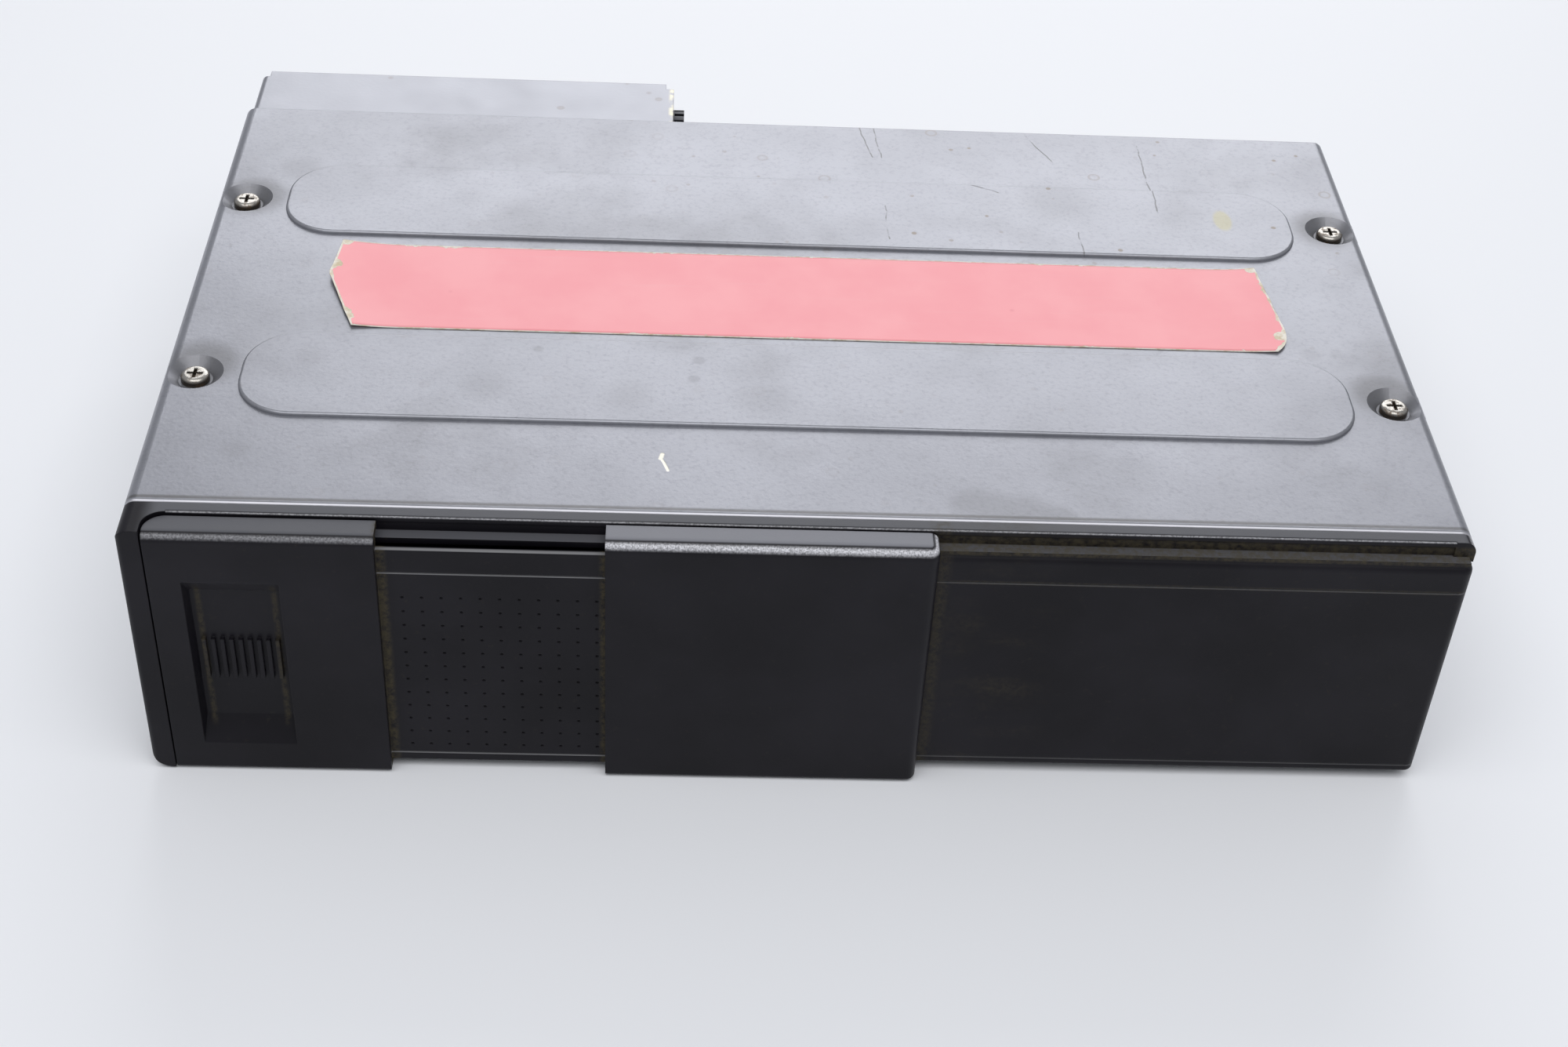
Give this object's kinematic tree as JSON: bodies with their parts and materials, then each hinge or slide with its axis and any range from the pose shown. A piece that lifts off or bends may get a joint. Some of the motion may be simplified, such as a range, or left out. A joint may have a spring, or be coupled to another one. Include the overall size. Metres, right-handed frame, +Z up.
{
  "type": "car cd changer",
  "caption": "Car disc changer in a flat sheet-metal case, with a dark sliding front, a disc magazine of trays and a rising playing mechanism inside.",
  "frame": {"origin": "centre of the whole changer at the underside of the base pads, with the connector housing included in its depth", "axes": "+X to the right of someone facing the doors, +Y from the doors towards the back, +Z up"},
  "size_m": [0.257, 0.1758, 0.0635],
  "materials": {
    "cover_steel": "satin grey sheet, lightly scratched",
    "case_steel": "plated sheet steel",
    "front_plastic": "near-black, fine-grained",
    "button_plastic": "black",
    "label_film": "salmon red sticker, bare",
    "screw_steel": "zinc plated",
    "circuit_board": "green board",
    "chip_plastic": "moulded black",
    "can_metal": "drawn can",
    "plug_plastic": "ivory",
    "socket_plastic": "black, ribbed",
    "contact_brass": "plated contacts",
    "damper_rubber": "soft black",
    "spring_steel": "spring wire",
    "dial_plastic": "white",
    "frame_steel": "galvanised",
    "rail_plastic": "dark grey",
    "lid_plastic": "dark grey",
    "tray_plastic": "grey",
    "disc_polycarbonate": "mirrored polycarbonate",
    "gear_plastic": "ivory acetal",
    "clamper_plastic": "black",
    "pickup_plastic": "black",
    "lens_glass": "coated lens",
    "shaft_steel": "ground steel",
    "flex_film": "amber film"
  },
  "bodies": {
    "case": {"top_cover": "cover_steel", "bottom_chassis": "case_steel", "rear_panel": "case_steel", "rear_box": "case_steel", "front_bezel": "front_plastic", "cover_label": "label_film", "cover_screws": "screw_steel", "bezel_screws": "screw_steel", "rear_screws": "screw_steel", "board_screws": "screw_steel", "main_board": "circuit_board", "board_chips": "chip_plastic", "board_capacitors": "can_metal", "board_plugs": "plug_plastic", "socket_board": "circuit_board", "cable_socket": "socket_plastic", "socket_pins": "contact_brass", "switch_board": "circuit_board", "eject_switch": "chip_plastic"},
    "middle_door": {"centre_cover": "front_plastic"},
    "outer_door": {"grip_door": "front_plastic"},
    "eject_button": {"eject_button": "button_plastic"},
    "left_dial": {"left_angle_dial": "dial_plastic"},
    "right_dial": {"right_angle_dial": "dial_plastic"},
    "mechanism": {"mechanism_frame": "frame_steel", "magazine_rails": "rail_plastic", "lift_motor": "can_metal", "lift_motor_bracket": "frame_steel", "eject_spring": "spring_steel", "dampers": "damper_rubber", "side_springs": "spring_steel", "dial_springs": "spring_steel"},
    "eject_lever": {"eject_lever": "rail_plastic"},
    "lift_slider": {"lift_slider": "frame_steel"},
    "lift_gear": {"lift_gear": "gear_plastic"},
    "lift_pinion": {"lift_pinion": "gear_plastic"},
    "magazine": {"magazine_base": "rail_plastic", "magazine_lid": "lid_plastic", "lower_trays": "tray_plastic", "lower_discs": "disc_polycarbonate"},
    "tray": {"top_tray": "tray_plastic", "top_disc": "disc_polycarbonate"},
    "drive": {"drive_deck": "frame_steel", "tray_motor": "can_metal", "spindle_motor": "can_metal", "guide_rod": "shaft_steel", "sled_motor": "can_metal", "flex_cable": "flex_film"},
    "tray_gear": {"tray_gear": "gear_plastic"},
    "tray_pinion": {"tray_pinion": "gear_plastic"},
    "turntable": {"turntable": "clamper_plastic"},
    "clamp_arm": {"clamp_arm": "frame_steel"},
    "clamper": {"clamper": "clamper_plastic"},
    "pickup": {"pickup": "pickup_plastic"},
    "pickup_lens": {"pickup_lens": "lens_glass"},
    "lead_screw": {"lead_screw": "shaft_steel"},
    "sled_pinion": {"sled_pinion": "gear_plastic"}
  },
  "joints": [
    {"name": "middle_door_slide", "type": "slide", "parent": "case", "child": "middle_door", "axis": [1, 0, 0], "range_m": [0, 0.1]},
    {"name": "outer_door_slide", "type": "slide", "parent": "middle_door", "child": "outer_door", "axis": [1, 0, 0], "range_m": [0, 0.0426]},
    {"name": "eject_button_press", "type": "slide", "parent": "case", "child": "eject_button", "axis": [0, 1, 0], "range_m": [0, 0.001], "stiffness_N_per_m": 400, "springref_m": -0.0005},
    {"name": "left_dial_turn", "type": "hinge", "parent": "case", "child": "left_dial", "pos_m": [-0.1274, 0.0383, 0.038], "axis": [1, 0, 0], "range_deg": [0, 90]},
    {"name": "right_dial_turn", "type": "hinge", "parent": "case", "child": "right_dial", "pos_m": [0.1274, 0.0383, 0.038], "axis": [1, 0, 0], "range_deg": [0, 90]},
    {"name": "suspension_float", "type": "slide", "parent": "case", "child": "mechanism", "axis": [0, 0, 1], "range_m": [-0.0015, 0.0015], "stiffness_N_per_m": 4000, "deforming": ["dampers", "side_springs", "dial_springs"]},
    {"name": "magazine_slide", "type": "slide", "parent": "mechanism", "child": "magazine", "axis": [0, 1, 0], "range_m": [-0.0035, 0]},
    {"name": "eject_lever_swing", "type": "hinge", "parent": "mechanism", "child": "eject_lever", "pos_m": [-0.06, 0.0609, 0.0315], "axis": [0, 0, 1], "range_deg": [-0.2, 5.2]},
    {"name": "tray_slide", "type": "slide", "parent": "magazine", "child": "tray", "axis": [1, 0, 0], "range_m": [0, 0.115]},
    {"name": "lift", "type": "slide", "parent": "mechanism", "child": "drive", "axis": [0, 0, 1], "range_m": [-0.021, 0.0015], "deforming": ["flex_cable"]},
    {"name": "lift_slider_slide", "type": "slide", "parent": "mechanism", "child": "lift_slider", "axis": [1, 0, 0], "range_m": [-0.021, 0.0015]},
    {"name": "lift_gear_spin", "type": "hinge", "parent": "mechanism", "child": "lift_gear", "pos_m": [-0.025, -0.0497, 0.011], "axis": [0, 0, 1], "range_deg": [-217, 18]},
    {"name": "lift_pinion_spin", "type": "hinge", "parent": "mechanism", "child": "lift_pinion", "pos_m": [-0.0406, -0.0497, 0.013], "axis": [0, 0, 1], "range_deg": [-54, 719]},
    {"name": "tray_gear_spin", "type": "hinge", "parent": "drive", "child": "tray_gear", "pos_m": [-0.0005, 0.05846, 0.048], "axis": [0, 0, 1], "range_deg": [-1, 1376]},
    {"name": "tray_pinion_spin", "type": "hinge", "parent": "drive", "child": "tray_pinion", "pos_m": [0.00817, 0.05999, 0.048], "axis": [0, 0, 1], "range_deg": [-1650, 1]},
    {"name": "spindle_spin", "type": "hinge", "parent": "drive", "child": "turntable", "pos_m": [0.057, -0.0087, 0.045], "axis": [0, 0, 1], "continuous": true},
    {"name": "clamp_arm_tilt", "type": "hinge", "parent": "drive", "child": "clamp_arm", "pos_m": [0.1199, -0.0087, 0.0529], "axis": [0, 1, 0], "range_deg": [-2, 0]},
    {"name": "clamper_spin", "type": "hinge", "parent": "clamp_arm", "child": "clamper", "pos_m": [0.057, -0.0087, 0.051], "axis": [0, 0, 1], "continuous": true},
    {"name": "pickup_slide", "type": "slide", "parent": "drive", "child": "pickup", "axis": [0.7071, 0.7071, 0], "range_m": [0, 0.034]},
    {"name": "lens_focus", "type": "slide", "parent": "pickup", "child": "pickup_lens", "axis": [0, 0, 1], "range_m": [-0.0004, 0.0004], "stiffness_N_per_m": 5},
    {"name": "lead_screw_spin", "type": "hinge", "parent": "drive", "child": "lead_screw", "pos_m": [0.09448, 0.01039, 0.0375], "axis": [0.7071, 0.7071, 0], "range_deg": [-1, 4085]},
    {"name": "sled_pinion_spin", "type": "hinge", "parent": "drive", "child": "sled_pinion", "pos_m": [0.0867, -0.01011, 0.0375], "axis": [0.7071, 0.7071, 0], "range_deg": [-8165, 1]}
  ],
  "couplings": [
    {"joint": "eject_lever_swing", "follows": "magazine_slide", "rad_per_m": -25},
    {"joint": "lift_slider_slide", "follows": "lift", "ratio": 1},
    {"joint": "lift_gear_spin", "follows": "lift", "rad_per_m": 178.57},
    {"joint": "lift_pinion_spin", "follows": "lift", "rad_per_m": -595.24},
    {"joint": "tray_gear_spin", "follows": "tray_slide", "rad_per_m": 208.33},
    {"joint": "tray_pinion_spin", "follows": "tray_slide", "rad_per_m": -250},
    {"joint": "lead_screw_spin", "follows": "pickup_slide", "rad_per_m": 2094.4},
    {"joint": "sled_pinion_spin", "follows": "pickup_slide", "rad_per_m": -4188.8}
  ]
}
